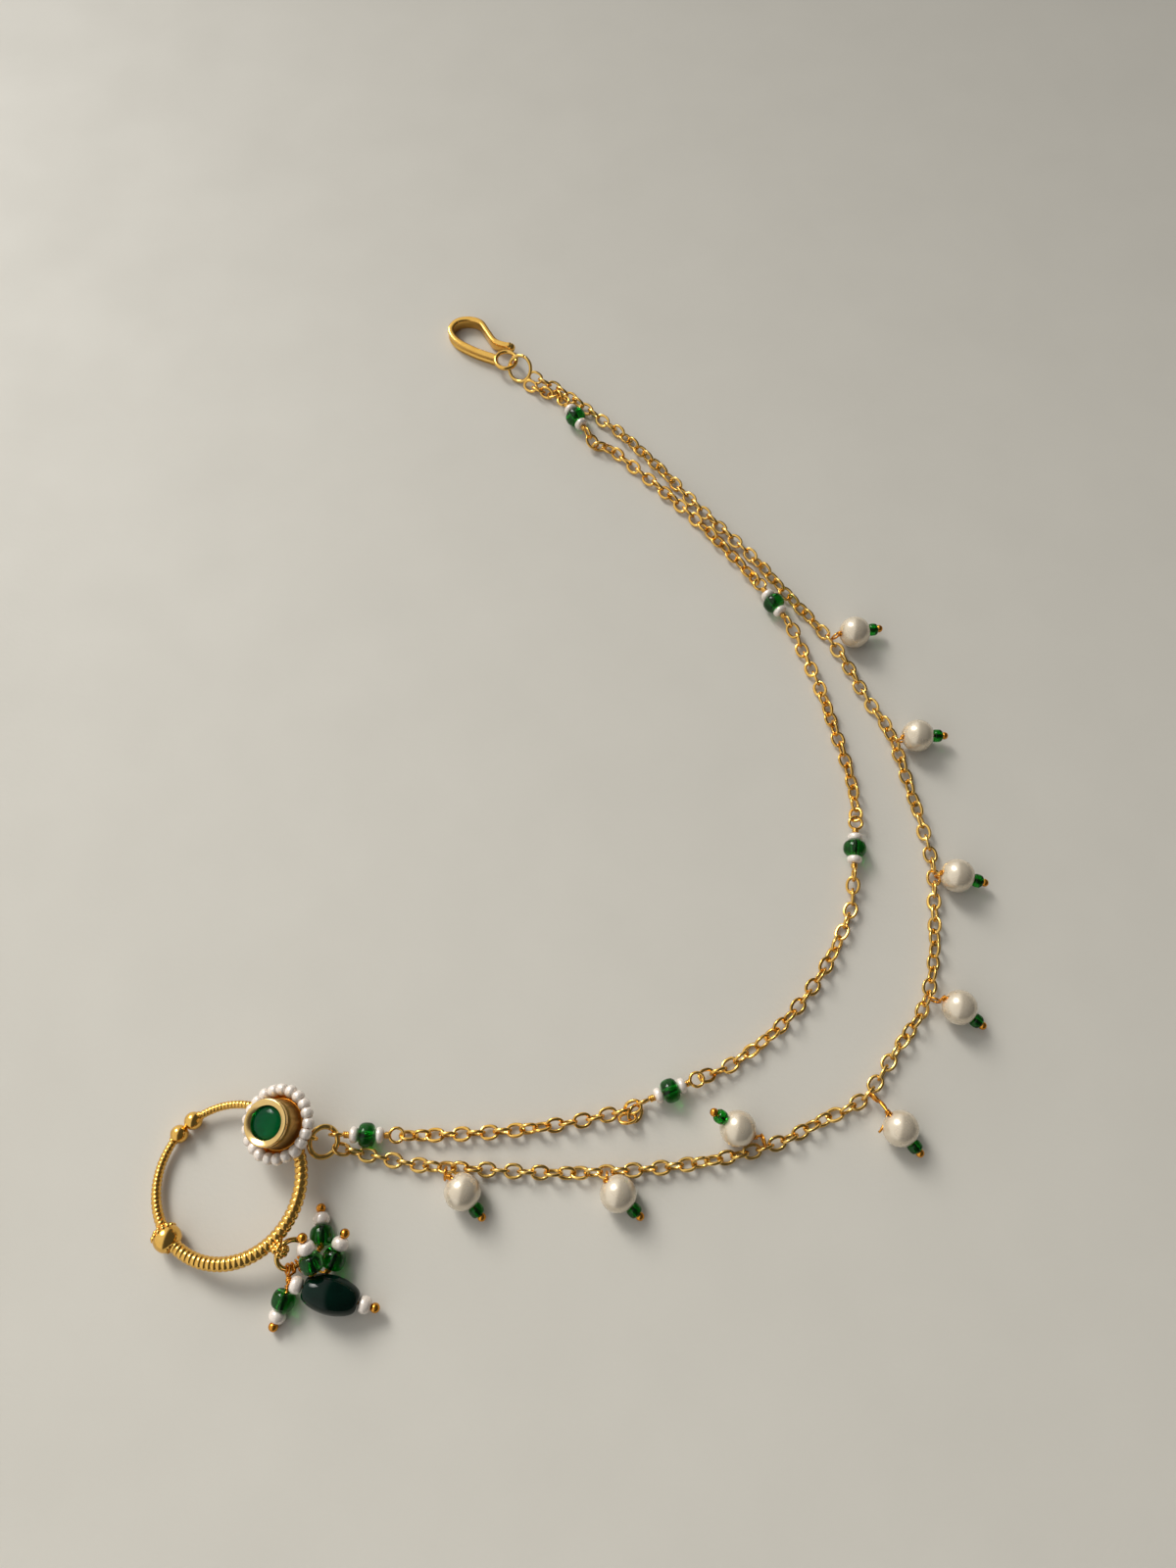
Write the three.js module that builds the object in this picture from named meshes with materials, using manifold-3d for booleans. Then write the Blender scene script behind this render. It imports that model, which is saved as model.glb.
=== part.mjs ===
// Press-on nose ring with a two-strand hair chain, laid out flat on a table.
// Millimetres, +Z up, origin on the table under the middle of the whole piece.
import * as THREE from "three";
import { mergeVertices } from "three/addons/utils/BufferGeometryUtils.js";
import { ParametricGeometry } from "three/addons/geometries/ParametricGeometry.js";
import Module from "manifold-3d";

// Shared sizes
const GAP = 0.15; // between beads that sit side by side on one wire
const HOLE_GAP = 0.3; // between a wire and the drilled hole it runs through
const WIRE = 0.24; // radius of the pin and connector wire
const TABLE_GAP = 0.03; // under a bead that lies on the table
const WELD = 1e-4; // vertices closer than this are one
const BEAD_SIDES = 10;
const WIRE_SIDES = 5;
const RING_SIDES = 12;
const UP = new THREE.Vector3(0, 0, 1);
const CENTRING = { x: 0.047, y: 0.724 }; // brings the middle of the piece over the origin

// Nose ring: a tilted circle that lies on its big bead and a ball tip, its right side raised off the table
const HOOP = { x: -58.75, y: -78.95, z: 3.38, radius: 12.35, leanX: -0.05, leanY: -0.15 };
const RIBS = { count: 40, depth: 0.12, sides: 8 };
const TIP_BALL = { radius: 1.5, start: 127, end: -219 };
const BIG_BEAD = { turn: -137.5, out: 12.6, radius: 2.35, half: 1.8, end: 1.3, steps: 4 };
// Wire radius at stations round the hoop, in degrees from the right, from one ball tip to the other
const HOOP_WIRE = [
  { turn: 127, radius: 0.65 },
  { turn: 70, radius: 0.68 },
  { turn: 45, radius: 0.9 },
  { turn: 15, radius: 1.08 },
  { turn: -30, radius: 1.15 },
  { turn: -80, radius: 1.2 },
  { turn: -125, radius: 1.12 },
  { turn: -150, radius: 0.9 },
  { turn: -180, radius: 0.78 },
  { turn: -219, radius: 0.66 },
];

// Flower: bezel cup on the hoop, with its stone and ring of seed pearls
const FLOWER = { x: 8.5, y: 8.9, leanX: 0.08, leanY: -0.12, sides: 20 };
const BACK = { radius: 4.55, bottom: -0.3, top: 1.15, chamfer: 0.5 };
const BEZEL = {
  base: 4.15, lip: 4.0, rim: 5.75, edge: 0.4, top: 6.2, mouth: 2.7, mouthTop: 5.75, seat: 4.5,
};
const STONE = { base: 2.3, girdle: 2.45, table: 1.5, foot: 4.8, waist: 5.2, top: 5.95, facets: 12 };
const PEARLS = { count: 21, ring: 5.45, radial: 0.98, z: 1.98, sides: 6, notch: 0.35 };
const FLOWER_LOOP = { out: 5.25, heading: -22, z: -0.35, radius: 0.95, wire: 0.28 };
const FLOWER_RING = { radius: 2.45, wire: 0.42, drop: 38 };

// Cluster of five drops on a ring at the hoop's lower right
const CLUSTER_LOOP = { turn: -45.6, out: 14.1, radius: 1.05, wire: 0.42 };
const CLUSTER_RING = { radius: 2.35, wire: 0.4, heading: -31, drop: 44 };
const PIN_EYE = { radius: 0.78, wire: 0.19 };
const BEND_OVERLAP = 0.05; // share of the straight run that the bent end repeats
const PIN_HEAD = { sides: 8, rows: 4 };
const CLUSTER_GREEN = { radius: 1.88, half: 1.38, end: 1.3, steps: 4 };
const CLUSTER_WHITE = { radius: 1.38, half: 0.95, end: 0.85, steps: 2 };
const BARREL = { radius: 2.95, half: 4.4, end: 1.5, steps: 6, sides: 14 };
const CLUSTER_HEAD = 0.8;
// Each drop: bead centre, heading and downward pitch towards its ball head, eye's place round the
// ring, and the points that its wire bends through on the way to the eye
const CLUSTER_DROPS = [
  { x: -43.2, y: -87.0, z: 2.0, heading: 99, pitch: 12, eye: -27, via: [[-43.9, -89.4, 1.9]] },
  {
    x: -41.0, y: -90.6, z: 2.1, heading: 67, pitch: -10, eye: -3,
    via: [[-42.6, -92.6, 1.4], [-44.6, -91.6, 1.2]],
  },
  {
    x: -43.75, y: -91.0, z: 5.7, heading: 110, pitch: -26, eye: 18,
    via: [[-44.2, -92.8, 4.75], [-46.0, -92.1, 3.3]],
  },
  { x: -48.49, y: -96.55, z: 1.95, heading: -110.5, pitch: 12, eye: 64, via: [[-47.9, -94.0, 2.4]] },
  {
    x: -40.89, y: -95.76, z: 3.08, heading: -15.5, pitch: 9, eye: 42,
    via: [[-47.6, -93.2, 3.6]], barrel: true,
  },
];

// Chains: the cable chains lie on the table
const CHAIN = { width: 1.8, sides: 8, stepLength: 6.2 };
const CHAIN_Z = CHAIN.width / 2 + 0.08;

// Inner strand: wire-wrapped connectors, each with its heading along the strand
const GREEN_BEAD = { radius: 2.0, half: 1.45, end: 1.3, steps: 4 };
const WHITE_BEAD = { radius: 1.3, half: 0.72, end: 0.75, steps: 2 };
const EYE = { radius: 1.1, out: 4.9, lead: 2.2, leadRise: 0.15 };
const STEM_SIDES = 8;
const FIRST_CONNECTOR = { ringTurn: -48, heading: 0, pitch: 5.5 };
const CONNECTORS = [
  { x: 13.5, y: -64.3, heading: 22 },
  { x: 48.0, y: -21.6, heading: 83.5 },
  { x: 36.2, y: 29.0, heading: 121 },
  { x: -2.9, y: 73.5, heading: 122 },
];
// Points of the inner strand between one connector and the next, the last up to the hook's ring
const INNER_STRETCHES = [
  [[-20.9, -71.2], [-11.3, -70.5], [-1.7, -69.1]],
  [[23.9, -60.0], [32.9, -53.3], [40.9, -43.7], [46.4, -33.2]],
  [[48.4, -6.7], [46.1, 3.2], [44.0, 11.4], [41.0, 20.0]],
  [[28.3, 40.8], [20.6, 50.0], [12.1, 58.8], [3.9, 66.3]],
  [[-8.2, 79.9], [-13.6, 82.9]],
];

// Outer strand, from the flower's ring to the hook's ring
const OUTER_START = [[-41.0, -73.7, 1.95], [-38.9, -74.1, 1.25]];
const OUTER_ROUTE = [
  [-35.4, -74.8], [-27.8, -76.2], [-16.5, -76.9], [-3.5, -77.4], [9.4, -76.8], [20.9, -75.3],
  [30.9, -72.8], [38.3, -69.3], [46.1, -65.4], [52.7, -57.1], [57.8, -50.1], [60.4, -41.9],
  [61.6, -31.3], [61.9, -23.0], [59.4, -9.8], [56.8, 1.4], [52.8, 9.1], [47.7, 19.9],
  [38.8, 31.8], [32.6, 40.1], [22.7, 51.2], [14.9, 60.8], [7.2, 69.3], [1.7, 74.2],
  [-3.0, 78.3], [-7.2, 81.6, 1.2], [-12.0, 83.9, 2.2],
];

// Drops of the outer strand: pearl place, heading and pitch towards the ball head, eye's place
const PEARL = { radius: 3.02, half: 2.86, end: 0.8, steps: 6 };
const SEED = { radius: 1.2, half: 0.78, end: 0.8, steps: 2 };
const DROP_HEAD = 0.72;
const DROP_EYE_Z = 3.55;
const DROPS = [
  { x: -20.7, y: -80.4, heading: -51, pitch: 20, eye: [-23.1, -77.0] },
  { x: 4.6, y: -80.7, heading: -44, pitch: 20, eye: [1.7, -77.6] },
  { x: 24.5, y: -70.5, heading: 150, pitch: -26, eye: [28.5, -73.6] },
  { x: 51.4, y: -70.5, heading: -49.5, pitch: 18, eye: [47.3, -65.6] },
  { x: 63.4, y: -50.5, heading: -34.7, pitch: 18, eye: [59.7, -48.0] },
  { x: 65.7, y: -27.0, heading: -11.3, pitch: 12, eye: [61.7, -26.2] },
  { x: 61.3, y: 0.2, heading: 3.2, pitch: 8, eye: [57.2, 0.0] },
  { x: 51.3, y: 22.0, heading: 14, pitch: 10, eye: [47.3, 20.9] },
];

// Hook clasp: a cast band bent into a teardrop, with a ball tip and an eye for its jump ring
const HOOK = { height: 2.5, thick: 1.25, groove: 0.35, grooveHeight: 0.5, steps: 26 };
const HOOK_ROUTE = [
  [-19.9, 88.9], [-24.6, 90.9], [-28.6, 93.5], [-30.1, 96.4], [-28.8, 98.7],
  [-26.2, 99.3], [-23.7, 98.4], [-22.1, 95.9], [-20.5, 93.4], [-18.4, 92.4], [-17.0, 92.2],
];
const HOOK_TIP = { radius: 0.95, z: 1.45 };
const HOOK_EYE = { x: -17.9, y: 88.1, outer: 2.6, inner: 1.82, bottom: 2.0, top: 2.7, sides: 12 };
const HOOK_RING = { away: 3.85, radius: 2.6, wire: 0.36, heading: -37, roll: 48, z: 2.4 };

const wasm = await Module();
wasm.setup();

// A closed geometry as a solid, with shared vertices merged and collapsed triangles left out.
function solidOf(geometry) {
  const bare = new THREE.BufferGeometry();
  bare.setAttribute("position", geometry.getAttribute("position"));
  bare.setIndex(geometry.index);
  const merged = mergeVertices(bare, WELD);
  const triangles = [];
  for (let i = 0; i < merged.index.count; i += 3) {
    const [a, b, c] = [0, 1, 2].map((k) => merged.index.getX(i + k));
    if (a !== b && b !== c && a !== c) triangles.push(a, b, c);
  }
  const vertProperties = merged.attributes.position.array;
  const triVerts = new Uint32Array(triangles);
  return new wasm.Manifold(new wasm.Mesh({ numProp: 3, vertProperties, triVerts }));
}

function geometryOf(solid) {
  const mesh = solid.getMesh();
  const geometry = new THREE.BufferGeometry();
  geometry.setAttribute("position", new THREE.BufferAttribute(mesh.vertProperties, 3));
  geometry.setIndex(new THREE.BufferAttribute(mesh.triVerts, 1));
  geometry.computeVertexNormals();
  return geometry;
}

const joined = (pieces) => geometryOf(pieces.map(solidOf).reduce((whole, piece) => whole.add(piece)));

const radians = THREE.MathUtils.degToRad;
const vector = ([x, y, z = CHAIN_Z]) => new THREE.Vector3(x, y, z);

// Unit vector for a heading in the table plane and a downward pitch, both in degrees.
function direction(heading, pitch = 0) {
  const level = Math.cos(radians(pitch));
  const turn = radians(heading);
  return new THREE.Vector3(level * Math.cos(turn), level * Math.sin(turn), -Math.sin(radians(pitch)));
}

// Moves a geometry made round the Y axis so that this axis follows a direction through a point.
function along(geometry, axis, at) {
  const turn = new THREE.Quaternion().setFromUnitVectors(new THREE.Vector3(0, 1, 0), axis);
  return geometry.applyQuaternion(turn).translate(at.x, at.y, at.z);
}

// Moves a ring made round the Z axis so that its hole faces along an axis.
function facing(geometry, axis, at) {
  const turn = new THREE.Quaternion().setFromUnitVectors(UP, axis);
  return geometry.applyQuaternion(turn).translate(at.x, at.y, at.z);
}

const lathe = (profile, sides) =>
  new THREE.LatheGeometry(profile.map(([r, y]) => new THREE.Vector2(r, y)), sides);

const ring = (radius, wire, sides = RING_SIDES) => new THREE.TorusGeometry(radius, wire, WIRE_SIDES, sides);

const ball = (radius, sides = BEAD_SIDES, rows = 5) => new THREE.SphereGeometry(radius, sides, rows);

// Round profile from one flat end of a bead to the other, with evenly turned steps.
function beadCurve({ radius, half, end, steps }) {
  return Array.from({ length: steps + 1 }, (_, i) => {
    const turn = (i / steps) * Math.PI;
    return [end + (radius - end) * Math.sin(turn), -half * Math.cos(turn)];
  });
}

// A bead drilled along its axis for the wire.
function drilledBead(size) {
  const hole = WIRE + HOLE_GAP;
  const outside = beadCurve(size);
  return lathe([...outside, [hole, size.half], [hole, -size.half], outside[0]], size.sides ?? BEAD_SIDES);
}

function polygon(radius, sides) {
  const corners = Array.from({ length: sides }, (_, i) => {
    const turn = ((i + 0.5) / sides) * 2 * Math.PI;
    return new THREE.Vector2(radius * Math.cos(turn), radius * Math.sin(turn));
  });
  return new THREE.Shape(corners);
}

function tube(points, radius, sides, steps) {
  const extrudePath = new THREE.CatmullRomCurve3(points);
  return new THREE.ExtrudeGeometry(polygon(radius, sides), { steps, extrudePath, bevelEnabled: false });
}

function chainTube(points) {
  const length = new THREE.CatmullRomCurve3(points).getLength();
  const corner = CHAIN.width / 2 / Math.cos(Math.PI / CHAIN.sides);
  return tube(points, corner, CHAIN.sides, Math.max(2, Math.round(length / CHAIN.stepLength)));
}

const metal = (color, roughness) => new THREE.MeshStandardMaterial({ color, roughness, metalness: 1 });
const glossy = (color, roughness) => new THREE.MeshStandardMaterial({ color, roughness, metalness: 0 });
const gold = metal("#c8962e", 0.25);
const paleGold = metal("#cfa64a", 0.25);
const cream = glossy("#e6dccb", 0.25);
const white = glossy("#efe9e0", 0.3);
const green = glossy("#0b5a1e", 0.08);
const darkGreen = glossy("#04211a", 0.05);
const emerald = glossy("#00693e", 0.1);

const jewel = new THREE.Group();
jewel.position.set(CENTRING.x, CENTRING.y, 0);

function place(name, geometry, material, parent = jewel) {
  const mesh = new THREE.Mesh(geometry, material);
  mesh.name = name;
  parent.add(mesh);
}

// Nose ring, built flat in its own group and then leaned
const noseRing = new THREE.Group();
noseRing.position.set(HOOP.x, HOOP.y, HOOP.z);
noseRing.rotation.set(HOOP.leanX, HOOP.leanY, 0);
noseRing.updateMatrix();
jewel.add(noseRing);
const onTable = (point) => point.clone().applyMatrix4(noseRing.matrix);

function wireRadius(turn) {
  const next = HOOP_WIRE.findIndex((row) => row.turn <= turn);
  if (next <= 0) return HOOP_WIRE[0].radius;
  const [from, to] = [HOOP_WIRE[next - 1], HOOP_WIRE[next]];
  return THREE.MathUtils.mapLinear(turn, from.turn, to.turn, from.radius, to.radius);
}

const roundHoop = (turn, out, z = 0) =>
  new THREE.Vector3(out * Math.cos(radians(turn)), out * Math.sin(radians(turn)), z);

// Wire of the hoop, swelling and narrowing at each rib and closed to a point inside each ball tip.
function ribbedWire(u, v, target) {
  const turn = THREE.MathUtils.lerp(TIP_BALL.end, TIP_BALL.start, u);
  const swell = 1 - RIBS.depth * (0.5 + 0.5 * Math.cos(u * RIBS.count * 2 * Math.PI));
  const closed = u === 0 || u === 1;
  const radius = closed ? 0 : wireRadius(turn) * swell;
  const spin = v * 2 * Math.PI;
  target.copy(roundHoop(turn, HOOP.radius + radius * Math.cos(spin), radius * Math.sin(spin)));
}

function hoopSolids() {
  const wire = new ParametricGeometry(ribbedWire, RIBS.count * 2, RIBS.sides);
  const tips = [TIP_BALL.start, TIP_BALL.end].map((turn) => {
    const at = roundHoop(turn, HOOP.radius);
    return ball(TIP_BALL.radius).translate(at.x, at.y, at.z);
  });
  const bead = lathe([[0, -BIG_BEAD.half], ...beadCurve(BIG_BEAD), [0, BIG_BEAD.half]], BEAD_SIDES);
  along(bead, direction(BIG_BEAD.turn + 90), roundHoop(BIG_BEAD.turn, BIG_BEAD.out));
  const loop = ring(CLUSTER_LOOP.radius, CLUSTER_LOOP.wire, BEAD_SIDES);
  facing(loop, direction(CLUSTER_LOOP.turn + 90), roundHoop(CLUSTER_LOOP.turn, CLUSTER_LOOP.out));
  return [wire, ...tips, bead, loop];
}

// Places a geometry turned round the Y axis on the hoop, leaned as the flower leans.
const flowerLean = new THREE.Euler(FLOWER.leanX, FLOWER.leanY, 0);
const flowerPlace = new THREE.Matrix4().makeRotationFromEuler(flowerLean).setPosition(FLOWER.x, FLOWER.y, 0);
const onFlower = (geometry) => geometry.rotateX(Math.PI / 2).applyMatrix4(flowerPlace);

function bezelCup() {
  const profile = [
    [0, BACK.bottom], [BACK.radius - BACK.chamfer, BACK.bottom], [BACK.radius, BACK.bottom + BACK.chamfer],
    [BACK.radius, BACK.top], [BEZEL.base, BACK.top], [BEZEL.lip, BEZEL.rim],
    [BEZEL.lip - BEZEL.edge, BEZEL.top], [BEZEL.mouth, BEZEL.mouthTop],
    [BEZEL.mouth, BEZEL.seat], [0, BEZEL.seat],
  ];
  return onFlower(lathe(profile, FLOWER.sides));
}

const loopOut = direction(FLOWER_LOOP.heading).multiplyScalar(FLOWER_LOOP.out).setZ(FLOWER_LOOP.z);
const flowerLoop = facing(
  ring(FLOWER_LOOP.radius, FLOWER_LOOP.wire, BEAD_SIDES),
  direction(FLOWER_LOOP.heading + 90),
  loopOut,
).applyMatrix4(flowerPlace);
const flowerHold = onTable(loopOut.clone().applyMatrix4(flowerPlace));
place("hoop", joined([...hoopSolids(), bezelCup(), flowerLoop]), gold, noseRing);

const stoneProfile = [
  [0, STONE.foot], [STONE.base, STONE.foot], [STONE.girdle, STONE.waist],
  [STONE.table, STONE.top], [0, STONE.top],
];
const stone = onFlower(lathe(stoneProfile, STONE.facets));
place("green_stone", joined([stone]), emerald, noseRing);

// Threaded seed pearls as one scalloped ring, a lobe for each pearl.
function scallopedRing(u, v, target) {
  const lobe = 1 - PEARLS.notch * (0.5 + 0.5 * Math.cos(u * PEARLS.count * 2 * Math.PI));
  const spin = v * 2 * Math.PI;
  const out = PEARLS.ring + PEARLS.radial * lobe * Math.cos(spin);
  const turn = u * 2 * Math.PI;
  target.set(out * Math.cos(turn), out * Math.sin(turn), PEARLS.radial * lobe * Math.sin(spin));
}
const pearlRing = new ParametricGeometry(scallopedRing, PEARLS.count * 2, PEARLS.sides);
pearlRing.translate(0, 0, PEARLS.z).applyMatrix4(flowerPlace);
place("pearl_ring", joined([pearlRing]), white, noseRing);

// A jump ring that hangs from a loop: it runs away along a heading and drops by an angle.
function hangingRing(hold, { radius, wire, drop }, heading) {
  const away = direction(heading, drop);
  const side = direction(heading + 90);
  const centre = hold.clone().addScaledVector(away, radius);
  const geometry = facing(ring(radius, wire), away.clone().cross(side), centre);
  // Point and wire direction at a turn from the far end of the ring, clockwise seen from above
  const at = (turn) => {
    const [c, s] = [Math.cos(radians(turn)), Math.sin(radians(turn))];
    const point = centre.clone().addScaledVector(away, radius * c).addScaledVector(side, -radius * s);
    const run = away.clone().multiplyScalar(-s).addScaledVector(side, -c);
    return { point, run };
  };
  return { geometry, at };
}

const flowerRing = hangingRing(flowerHold, FLOWER_RING, FLOWER_LOOP.heading);
place("flower_jump_ring", flowerRing.geometry, paleGold);

// Cluster
const clusterHold = onTable(roundHoop(CLUSTER_LOOP.turn, CLUSTER_LOOP.out));
const clusterRing = hangingRing(clusterHold, CLUSTER_RING, CLUSTER_RING.heading);
place("cluster_ring", clusterRing.geometry, paleGold);

// A ball-head pin: straight through its beads, then bent on to its eye.
function pin({ head, headRadius, start, via, eyeAt, eyeAxis }) {
  const reach = [start, ...via].at(-1).clone().sub(eyeAt);
  const bend = new THREE.Vector3().crossVectors(eyeAxis, reach).cross(eyeAxis).setLength(PIN_EYE.radius);
  const joint = eyeAt.clone().add(bend);
  const straight = tube([head, start], WIRE, WIRE_SIDES, 1);
  const bendFrom = start.clone().lerp(head, BEND_OVERLAP);
  const bent = tube([bendFrom, start, ...via, joint], PIN_EYE.wire, WIRE_SIDES, 2 + 2 * via.length);
  const knob = ball(headRadius, PIN_HEAD.sides, PIN_HEAD.rows).translate(head.x, head.y, head.z);
  const eye = facing(ring(PIN_EYE.radius, PIN_EYE.wire, BEAD_SIDES), eyeAxis, eyeAt);
  return joined([straight, bent, knob, eye]);
}

CLUSTER_DROPS.forEach((drop, i) => {
  const bead = drop.barrel ? BARREL : CLUSTER_GREEN;
  const axis = direction(drop.heading, drop.pitch);
  const centre = vector([drop.x, drop.y, drop.z]);
  const onPin = (distance) => centre.clone().addScaledVector(axis, distance);
  const whiteAt = bead.half + GAP + CLUSTER_WHITE.half;
  const headAt = whiteAt + CLUSTER_WHITE.half + GAP + CLUSTER_HEAD;
  const eye = clusterRing.at(drop.eye);
  const name = drop.barrel ? "cluster_barrel" : `cluster_green_${i + 1}`;
  place(name, along(drilledBead(bead), axis, centre), drop.barrel ? darkGreen : green);
  place(`cluster_white_${i + 1}`, along(drilledBead(CLUSTER_WHITE), axis, onPin(whiteAt)), white);
  if (drop.barrel) {
    // a white bead at its inner end too
    place(`cluster_white_${i + 2}`, along(drilledBead(CLUSTER_WHITE), axis, onPin(-whiteAt)), white);
  }
  const backEnd = drop.barrel ? whiteAt + CLUSTER_WHITE.half : bead.half;
  const geometryOfPin = pin({
    head: onPin(headAt),
    headRadius: CLUSTER_HEAD,
    start: onPin(-backEnd - GAP),
    via: drop.via.map(vector),
    eyeAt: eye.point,
    eyeAxis: eye.run,
  });
  place(`cluster_pin_${i + 1}`, geometryOfPin, gold);
});

// Inner strand: connectors and chain stretches as one string, with the green beads threaded on it
function connector(row) {
  const axis = direction(row.heading, row.pitch);
  const centre = vector([row.x, row.y, row.z ?? GREEN_BEAD.radius + TABLE_GAP]);
  const onWire = (distance) => centre.clone().addScaledVector(axis, distance);
  const whiteAt = GREEN_BEAD.half + GAP + WHITE_BEAD.half;
  const side = direction(row.heading + 90);
  const wireEnd = EYE.out - EYE.radius;
  const whites = [-whiteAt, whiteAt].flatMap((middle) => [
    [WIRE, middle - WHITE_BEAD.half],
    ...beadCurve(WHITE_BEAD).map(([r, y]) => [r, y + middle]),
    [WIRE, middle + WHITE_BEAD.half],
  ]);
  const ends = { low: [[0, -wireEnd], [WIRE, -wireEnd]], high: [[WIRE, wireEnd], [0, wireEnd]] };
  const stem = lathe([...ends.low, ...whites, ...ends.high], STEM_SIDES);
  const eyes = [-1, 1].map((end) => {
    const eyeAxis = end < 0 ? side : axis.clone().cross(side);
    return facing(ring(EYE.radius, WIRE, BEAD_SIDES), eyeAxis, onWire(end * EYE.out));
  });
  const level = (distance) => onWire(distance).setZ(CHAIN_Z + EYE.leadRise);
  const reach = EYE.out + EYE.radius;
  return {
    pieces: [along(stem, axis, centre), ...eyes],
    bead: along(drilledBead(GREEN_BEAD), axis, centre),
    from: [level(-reach - EYE.lead), onWire(-reach)],
    to: [onWire(reach), level(reach + EYE.lead)],
  };
}

const firstEye = flowerRing.at(FIRST_CONNECTOR.ringTurn).point;
const firstAxis = direction(FIRST_CONNECTOR.heading, FIRST_CONNECTOR.pitch);
const firstCentre = firstEye.clone().addScaledVector(firstAxis, EYE.out);
const connectors = [{ ...FIRST_CONNECTOR, ...firstCentre }, ...CONNECTORS].map(connector);
const stretches = INNER_STRETCHES.map((points, i) => {
  const next = connectors[i + 1];
  const middle = points.map(vector);
  return chainTube([...connectors[i].to, ...middle, ...(next ? next.from : [])]);
});
place("inner_chain", joined([...connectors.flatMap((unit) => unit.pieces), ...stretches]), gold);
connectors.forEach((unit, i) => place(`inner_green_bead_${i + 1}`, unit.bead, green));

// Outer strand and its drops
place("outer_chain", chainTube([...OUTER_START, ...OUTER_ROUTE].map(vector)), paleGold);

DROPS.forEach((drop, i) => {
  const axis = direction(drop.heading, drop.pitch);
  const centre = vector([drop.x, drop.y, PEARL.radius + TABLE_GAP]);
  const onPin = (distance) => centre.clone().addScaledVector(axis, distance);
  const seedAt = PEARL.half + GAP + SEED.half;
  const headAt = seedAt + SEED.half + GAP + DROP_HEAD;
  const eyeAt = vector([...drop.eye, DROP_EYE_Z]);
  const geometryOfPin = pin({
    head: onPin(headAt),
    headRadius: DROP_HEAD,
    start: onPin(-PEARL.half - GAP),
    via: [],
    eyeAt,
    eyeAxis: direction(drop.heading + 90),
  });
  place(`drop_pin_${i + 1}`, geometryOfPin, gold);
  place(`drop_pearl_${i + 1}`, along(drilledBead(PEARL), axis, centre), cream);
  place(`drop_seed_${i + 1}`, along(drilledBead(SEED), axis, onPin(seedAt)), green);
});

// Hook clasp: the band stands on edge, with a groove along its outer face
function hookBand() {
  const route = new THREE.CatmullRomCurve3(HOOK_ROUTE.map(([x, y]) => new THREE.Vector3(x, y, 0)));
  const [half, dent] = [HOOK.thick / 2, HOOK.groove];
  const [low, high] = [HOOK.height / 2 - HOOK.grooveHeight, HOOK.height / 2 + HOOK.grooveHeight];
  const outline = [
    [0, -half], [0, half], [-low, half], [-HOOK.height / 2, half - dent],
    [-high, half], [-HOOK.height, half], [-HOOK.height, -half],
  ];
  const section = new THREE.Shape(outline.map(([x, y]) => new THREE.Vector2(x, y)));
  return new THREE.ExtrudeGeometry(section, { steps: HOOK.steps, extrudePath: route, bevelEnabled: false });
}

const hookEyeProfile = [
  [HOOK_EYE.inner, HOOK_EYE.bottom], [HOOK_EYE.outer, HOOK_EYE.bottom], [HOOK_EYE.outer, HOOK_EYE.top],
  [HOOK_EYE.inner, HOOK_EYE.top], [HOOK_EYE.inner, HOOK_EYE.bottom],
];
const hookEye = lathe(hookEyeProfile, HOOK_EYE.sides).rotateX(Math.PI / 2);
hookEye.translate(HOOK_EYE.x, HOOK_EYE.y, 0);
const [tipX, tipY] = HOOK_ROUTE.at(-1);
const hookTip = ball(HOOK_TIP.radius).translate(tipX, tipY, HOOK_TIP.z);
place("hook_clasp", joined([hookBand(), hookEye, hookTip]), paleGold);

const ringAway = direction(HOOK_RING.heading);
const ringSide = direction(HOOK_RING.heading + 90).applyAxisAngle(ringAway, radians(HOOK_RING.roll));
const ringCentre = vector([HOOK_EYE.x, HOOK_EYE.y, HOOK_RING.z]).addScaledVector(ringAway, HOOK_RING.away);
const ringAxis = ringAway.clone().cross(ringSide);
place("hook_jump_ring", facing(ring(HOOK_RING.radius, HOOK_RING.wire), ringAxis, ringCentre), paleGold);

export default jewel;
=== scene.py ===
import math
import random

import bpy
from mathutils import Matrix, Vector


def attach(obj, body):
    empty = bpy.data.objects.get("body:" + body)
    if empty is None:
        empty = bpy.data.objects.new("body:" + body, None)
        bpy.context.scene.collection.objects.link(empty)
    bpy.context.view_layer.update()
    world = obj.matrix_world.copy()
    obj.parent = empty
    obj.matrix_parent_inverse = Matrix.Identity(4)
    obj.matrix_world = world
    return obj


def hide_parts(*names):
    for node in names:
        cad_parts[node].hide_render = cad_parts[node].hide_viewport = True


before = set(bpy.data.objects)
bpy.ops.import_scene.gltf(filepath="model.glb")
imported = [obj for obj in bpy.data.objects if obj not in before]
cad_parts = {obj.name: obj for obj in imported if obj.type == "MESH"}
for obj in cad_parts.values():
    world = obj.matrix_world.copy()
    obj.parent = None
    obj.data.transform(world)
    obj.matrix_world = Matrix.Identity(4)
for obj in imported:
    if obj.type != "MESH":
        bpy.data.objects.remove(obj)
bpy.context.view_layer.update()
print("frame loaded:", len(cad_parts), "nodes")

# Places below are millimetres on the table; this shift brings the laid-out piece over the origin
tableShift = Vector((0.047, 0.724, 0.0))
millimetre = 0.001
up = Vector((0, 0, 1))
chance = random.Random(7)


# Small maths

def heading(degrees, pitch=0.0):
    turn, dip = math.radians(degrees), math.radians(pitch)
    return Vector((math.cos(dip) * math.cos(turn), math.cos(dip) * math.sin(turn), -math.sin(dip)))


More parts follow.
